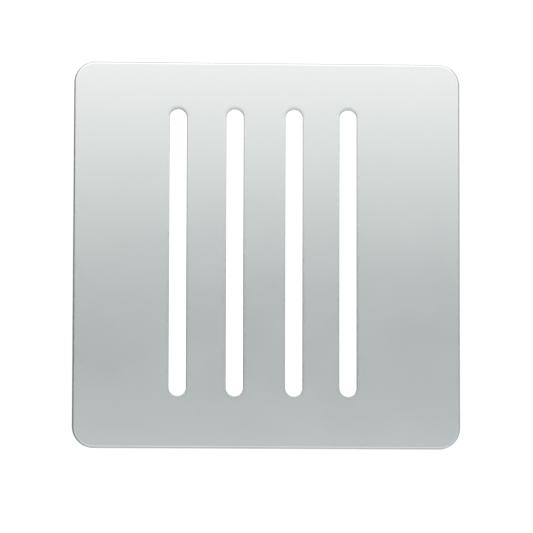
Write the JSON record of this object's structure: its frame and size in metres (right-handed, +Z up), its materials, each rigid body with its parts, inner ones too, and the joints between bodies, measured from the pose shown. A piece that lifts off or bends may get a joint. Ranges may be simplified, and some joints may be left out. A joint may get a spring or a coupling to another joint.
{
  "type": "floor drain grate",
  "caption": "Square flat floor drain grate with long straight slots and rounded corners, stiffened below and standing on screw-adjusted rubber feet.",
  "frame": {"origin": "under the centre of the plate, on the surface that the feet stand on", "axes": "+Z up, out of the visible face; slots run along Y; +X to the right when seen from above with +Y away"},
  "size_m": [0.1, 0.1, 0.018],
  "materials": {
    "plate": "satin",
    "bars": "mill, welded",
    "screws": "turned",
    "feet": "matt moulded"
  },
  "bodies": {
    "grate": {"grate_plate": "plate", "rib_left": "bars", "rib_centre": "bars", "rib_right": "bars", "cross_bar_back": "bars", "cross_bar_front": "bars", "foot_boss_front_left": "bars", "foot_boss_front_right": "bars", "foot_boss_back_left": "bars", "foot_boss_back_right": "bars"},
    "foot_front_left": {"rubber_foot_front_left": "feet"},
    "screw_front_left": {"levelling_screw_front_left": "screws"},
    "foot_front_right": {"rubber_foot_front_right": "feet"},
    "screw_front_right": {"levelling_screw_front_right": "screws"},
    "foot_back_left": {"rubber_foot_back_left": "feet"},
    "screw_back_left": {"levelling_screw_back_left": "screws"},
    "foot_back_right": {"rubber_foot_back_right": "feet"},
    "screw_back_right": {"levelling_screw_back_right": "screws"}
  },
  "joints": [
    {"name": "foot_front_left_height", "type": "slide", "parent": "grate", "child": "foot_front_left", "axis": [0, 0, 1], "range_m": [0, 0.0025]},
    {"name": "screw_front_left_turn", "type": "hinge", "parent": "foot_front_left", "child": "screw_front_left", "pos_m": [-0.036, -0.036, 0.0055], "axis": [0, 0, 1], "range_deg": [0, 900]},
    {"name": "foot_front_right_height", "type": "slide", "parent": "grate", "child": "foot_front_right", "axis": [0, 0, 1], "range_m": [0, 0.0025]},
    {"name": "screw_front_right_turn", "type": "hinge", "parent": "foot_front_right", "child": "screw_front_right", "pos_m": [0.036, -0.036, 0.0055], "axis": [0, 0, 1], "range_deg": [0, 900]},
    {"name": "foot_back_left_height", "type": "slide", "parent": "grate", "child": "foot_back_left", "axis": [0, 0, 1], "range_m": [0, 0.0025]},
    {"name": "screw_back_left_turn", "type": "hinge", "parent": "foot_back_left", "child": "screw_back_left", "pos_m": [-0.036, 0.036, 0.0055], "axis": [0, 0, 1], "range_deg": [0, 900]},
    {"name": "foot_back_right_height", "type": "slide", "parent": "grate", "child": "foot_back_right", "axis": [0, 0, 1], "range_m": [0, 0.0025]},
    {"name": "screw_back_right_turn", "type": "hinge", "parent": "foot_back_right", "child": "screw_back_right", "pos_m": [0.036, 0.036, 0.0055], "axis": [0, 0, 1], "range_deg": [0, 900]}
  ],
  "couplings": [
    {"joint": "screw_front_left_turn", "follows": "foot_front_left_height", "rad_per_m": 6283.2},
    {"joint": "screw_front_right_turn", "follows": "foot_front_right_height", "rad_per_m": 6283.2},
    {"joint": "screw_back_left_turn", "follows": "foot_back_left_height", "rad_per_m": 6283.2},
    {"joint": "screw_back_right_turn", "follows": "foot_back_right_height", "rad_per_m": 6283.2}
  ]
}
